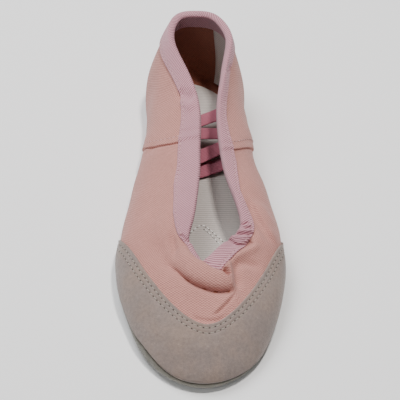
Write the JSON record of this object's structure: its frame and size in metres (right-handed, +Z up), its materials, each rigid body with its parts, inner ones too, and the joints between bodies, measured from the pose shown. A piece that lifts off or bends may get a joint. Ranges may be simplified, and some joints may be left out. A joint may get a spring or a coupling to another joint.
{
  "type": "ballet slipper",
  "caption": "Soft split-sole canvas ballet slipper with suede toe cap, bound low collar and crossed elastic bands inside, shown empty.",
  "frame": {"origin": "middle of the shoe's footprint, on the floor", "axes": "+Z up, the toe toward -Y, the heel toward +Y, X across the foot"},
  "size_m": [0.0895, 0.235, 0.055],
  "materials": {
    "canvas": "plain woven cotton canvas, matt",
    "cap_suede": "fine suede nap, matt",
    "sole_suede": "suede nap, matt",
    "heel_suede": "suede nap, matt",
    "cotton": "ribbed cotton lining, matt",
    "tape": "twill tape, matt",
    "elastic_rib_1": "ribbed elastic webbing",
    "elastic_rib_2": "ribbed elastic webbing",
    "elastic_rib_3": "ribbed elastic webbing",
    "elastic_rib_4": "ribbed elastic webbing"
  },
  "bodies": {
    "root": {"upper": "canvas", "toe_cap": "cap_suede", "front_sole": "sole_suede", "heel_sole": "heel_suede", "insole": "cotton", "collar_binding": "tape", "elastic_1": "elastic_rib_1", "elastic_2": "elastic_rib_2", "elastic_3": "elastic_rib_3", "elastic_4": "elastic_rib_4"}
  },
  "joints": []
}
